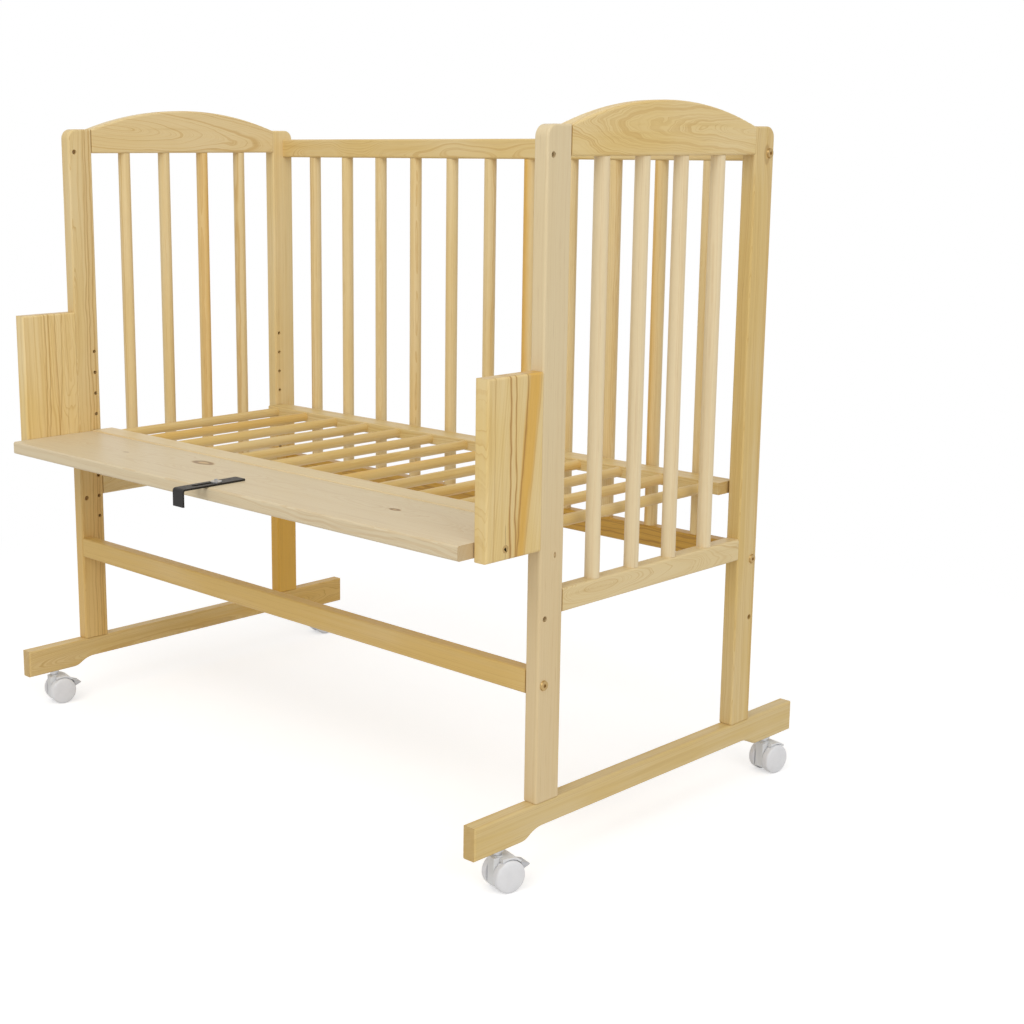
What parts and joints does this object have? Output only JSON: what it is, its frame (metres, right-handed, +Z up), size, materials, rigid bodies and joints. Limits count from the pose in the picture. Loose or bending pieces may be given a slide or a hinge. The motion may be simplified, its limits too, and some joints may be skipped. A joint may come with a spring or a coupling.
{
  "type": "bedside crib",
  "caption": "Wooden bedside crib with arched spindled ends, a spindled back, dowelled base, table board with cheeks and a sliding bed hook, on braked twin-wheel casters.",
  "frame": {"origin": "on the floor under the middle of the bounding box; along y the crib's own middle, between the posts, lies 25.5 mm behind it at y = +0.0255 m", "axes": "+X along the crib to its right end, +Y to the closed back, -Y to the open side that stands at the bed, +Z up"},
  "size_m": [0.9715, 0.691, 0.901],
  "materials": {
    "pine": "clear lacquered pine, satin",
    "bronze_bolt": "bronze-plated steel, satin",
    "zinc_steel": "zinc-plated",
    "dark_steel": "black-brown paint, satin",
    "caster_plastic": "light grey moulded",
    "caster_wheel": "light grey moulded"
  },
  "bodies": {
    "frame": {"left_front_post": "pine", "left_rear_post": "pine", "right_front_post": "pine", "right_rear_post": "pine", "left_top_rail": "pine", "left_lower_rail": "pine", "left_spindles": "pine", "left_skid": "pine", "left_cheek": "pine", "right_top_rail": "pine", "right_lower_rail": "pine", "right_spindles": "pine", "right_skid": "pine", "right_cheek": "pine", "back_top_rail": "pine", "back_lower_rail": "pine", "back_spindles": "pine", "base_front_rail": "pine", "base_rear_rail": "pine", "base_dowels": "pine", "base_support_pins": "pine", "stretcher": "pine", "table_board": "pine", "joint_dowels": "pine", "frame_bolts": "bronze_bolt", "cheek_screws": "bronze_bolt", "barrel_nuts": "zinc_steel", "hook_screw": "zinc_steel", "hook_washer": "zinc_steel", "front_left_stem": "zinc_steel", "front_right_stem": "zinc_steel", "rear_left_stem": "zinc_steel", "rear_right_stem": "zinc_steel"},
    "bed_hook": {"bed_hook": "dark_steel"},
    "front_left_caster": {"front_left_housing": "caster_plastic", "front_left_axle": "zinc_steel"},
    "front_left_inner_wheel": {"front_left_inner_wheel": "caster_wheel"},
    "front_left_outer_wheel": {"front_left_outer_wheel": "caster_wheel"},
    "front_left_brake": {"front_left_brake_lever": "caster_plastic"},
    "front_right_caster": {"front_right_housing": "caster_plastic", "front_right_axle": "zinc_steel"},
    "front_right_inner_wheel": {"front_right_inner_wheel": "caster_wheel"},
    "front_right_outer_wheel": {"front_right_outer_wheel": "caster_wheel"},
    "front_right_brake": {"front_right_brake_lever": "caster_plastic"},
    "rear_left_caster": {"rear_left_housing": "caster_plastic", "rear_left_axle": "zinc_steel"},
    "rear_left_inner_wheel": {"rear_left_inner_wheel": "caster_wheel"},
    "rear_left_outer_wheel": {"rear_left_outer_wheel": "caster_wheel"},
    "rear_right_caster": {"rear_right_housing": "caster_plastic", "rear_right_axle": "zinc_steel"},
    "rear_right_inner_wheel": {"rear_right_inner_wheel": "caster_wheel"},
    "rear_right_outer_wheel": {"rear_right_outer_wheel": "caster_wheel"}
  },
  "joints": [
    {"name": "hook_slide", "type": "slide", "parent": "frame", "child": "bed_hook", "axis": [0, 1, 0], "range_m": [0, 0.036]},
    {"name": "front_left_swivel", "type": "hinge", "parent": "frame", "child": "front_left_caster", "pos_m": [-0.465, -0.2465, 0.045], "axis": [0, 0, 1], "continuous": true},
    {"name": "front_left_inner_spin", "type": "hinge", "parent": "front_left_caster", "child": "front_left_inner_wheel", "pos_m": [-0.46313, -0.2377, 0.02], "axis": [0.9781, -0.2079, 0], "continuous": true},
    {"name": "front_left_outer_spin", "type": "hinge", "parent": "front_left_caster", "child": "front_left_outer_wheel", "pos_m": [-0.46313, -0.2377, 0.02], "axis": [0.9781, -0.2079, 0], "continuous": true},
    {"name": "front_left_brake_press", "type": "hinge", "parent": "front_left_caster", "child": "front_left_brake", "pos_m": [-0.46084, -0.22694, 0.029], "axis": [0.9781, -0.2079, 0], "range_deg": [-14, 0]},
    {"name": "front_right_swivel", "type": "hinge", "parent": "frame", "child": "front_right_caster", "pos_m": [0.465, -0.2465, 0.045], "axis": [0, 0, 1], "continuous": true},
    {"name": "front_right_inner_spin", "type": "hinge", "parent": "front_right_caster", "child": "front_right_inner_wheel", "pos_m": [0.46733, -0.23781, 0.02], "axis": [0.9659, -0.2588, 0], "continuous": true},
    {"name": "front_right_outer_spin", "type": "hinge", "parent": "front_right_caster", "child": "front_right_outer_wheel", "pos_m": [0.46733, -0.23781, 0.02], "axis": [0.9659, -0.2588, 0], "continuous": true},
    {"name": "front_right_brake_press", "type": "hinge", "parent": "front_right_caster", "child": "front_right_brake", "pos_m": [0.47018, -0.22718, 0.029], "axis": [0.9659, -0.2588, 0], "range_deg": [-14, 0]},
    {"name": "rear_left_swivel", "type": "hinge", "parent": "frame", "child": "rear_left_caster", "pos_m": [-0.465, 0.2975, 0.045], "axis": [0, 0, 1], "continuous": true},
    {"name": "rear_left_inner_spin", "type": "hinge", "parent": "rear_left_caster", "child": "rear_left_inner_wheel", "pos_m": [-0.46344, 0.30636, 0.02], "axis": [0.9848, -0.1736, 0], "continuous": true},
    {"name": "rear_left_outer_spin", "type": "hinge", "parent": "rear_left_caster", "child": "rear_left_outer_wheel", "pos_m": [-0.46344, 0.30636, 0.02], "axis": [0.9848, -0.1736, 0], "continuous": true},
    {"name": "rear_right_swivel", "type": "hinge", "parent": "frame", "child": "rear_right_caster", "pos_m": [0.465, 0.2975, 0.045], "axis": [0, 0, 1], "continuous": true},
    {"name": "rear_right_inner_spin", "type": "hinge", "parent": "rear_right_caster", "child": "rear_right_inner_wheel", "pos_m": [0.46656, 0.30636, 0.02], "axis": [0.9848, -0.1736, 0], "continuous": true},
    {"name": "rear_right_outer_spin", "type": "hinge", "parent": "rear_right_caster", "child": "rear_right_outer_wheel", "pos_m": [0.46656, 0.30636, 0.02], "axis": [0.9848, -0.1736, 0], "continuous": true}
  ]
}
